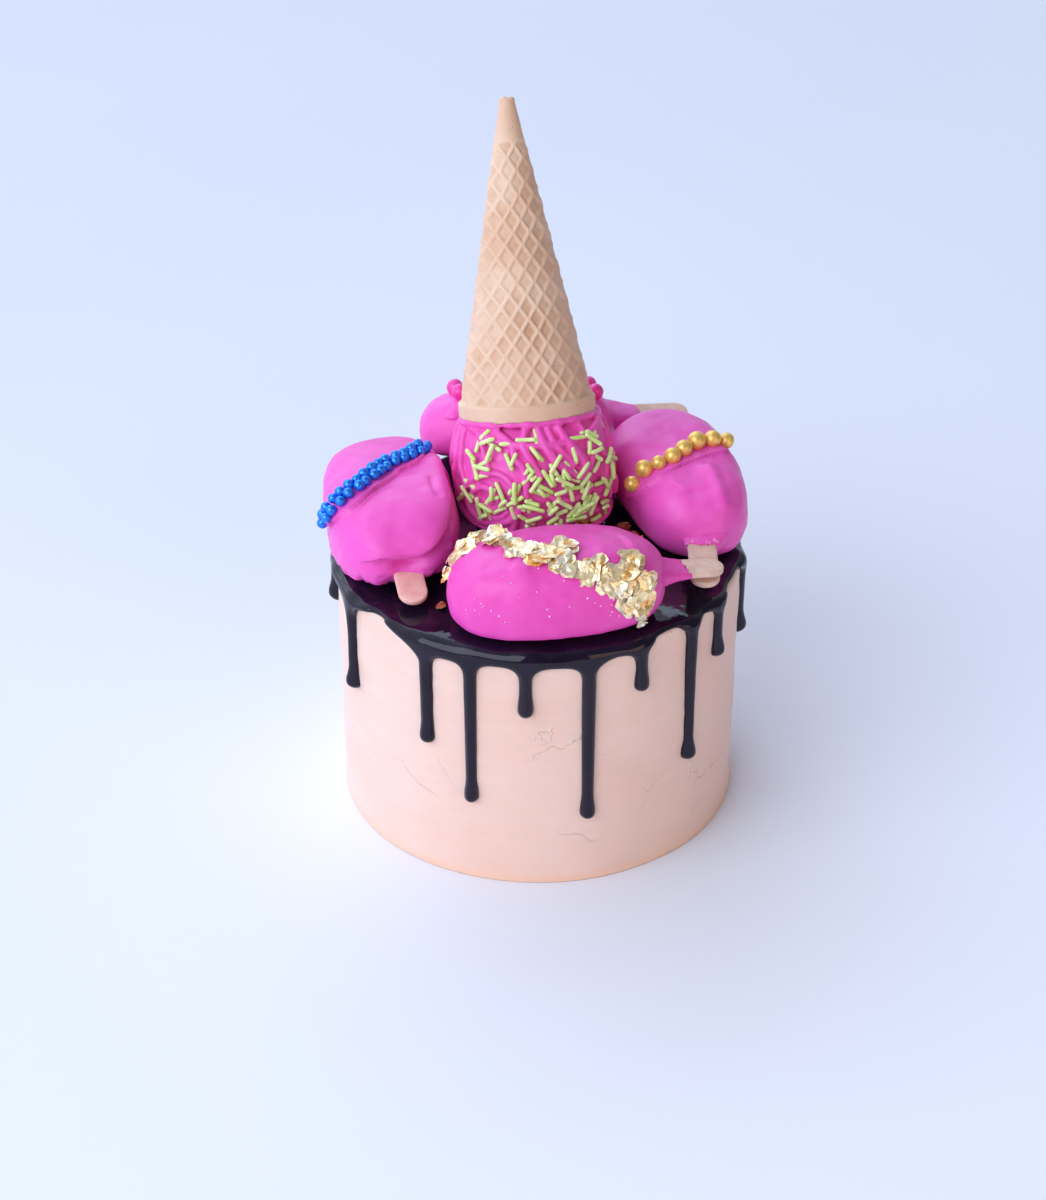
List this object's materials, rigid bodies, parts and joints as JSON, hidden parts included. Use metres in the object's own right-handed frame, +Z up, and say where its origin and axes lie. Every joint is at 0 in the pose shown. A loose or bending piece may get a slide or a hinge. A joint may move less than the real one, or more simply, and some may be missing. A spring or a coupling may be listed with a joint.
{
  "type": "drip cake",
  "caption": "Round buttercream cake with dark chocolate drips, topped with coated ice-cream bars on sticks, a ball of piped pink chocolate and an upturned wafer cone.",
  "frame": {"origin": "centre of the cake's flat base, on the surface that it stands on", "axes": "+Z up; +X to the right and +Y away from someone who faces the front, where the bar with the leaf trail lies"},
  "size_m": [0.1511, 0.1555, 0.2436],
  "materials": {
    "buttercream": "smooth peach buttercream, soft satin with faint spatula marks",
    "dark_chocolate": "near-black chocolate glaze, set glossy",
    "pink_coating": "pink coating chocolate, satin gloss with soft ripples",
    "stick_wood": "plain birch, unfinished",
    "piped_chocolate": "pink chocolate drizzled in strands, satin, with lime-green sprinkles",
    "wafer": "baked wafer, dry and matt, with a moulded net"
  },
  "bodies": {
    "root": {"cake": "buttercream", "ganache": "dark_chocolate", "pop_front": "pink_coating", "pop_left": "pink_coating", "pop_right": "pink_coating", "pop_back": "pink_coating", "pop_front_stick": "stick_wood", "pop_left_stick": "stick_wood", "pop_right_stick": "stick_wood", "pop_back_stick": "stick_wood", "scoop": "piped_chocolate", "cone": "wafer"}
  },
  "joints": []
}
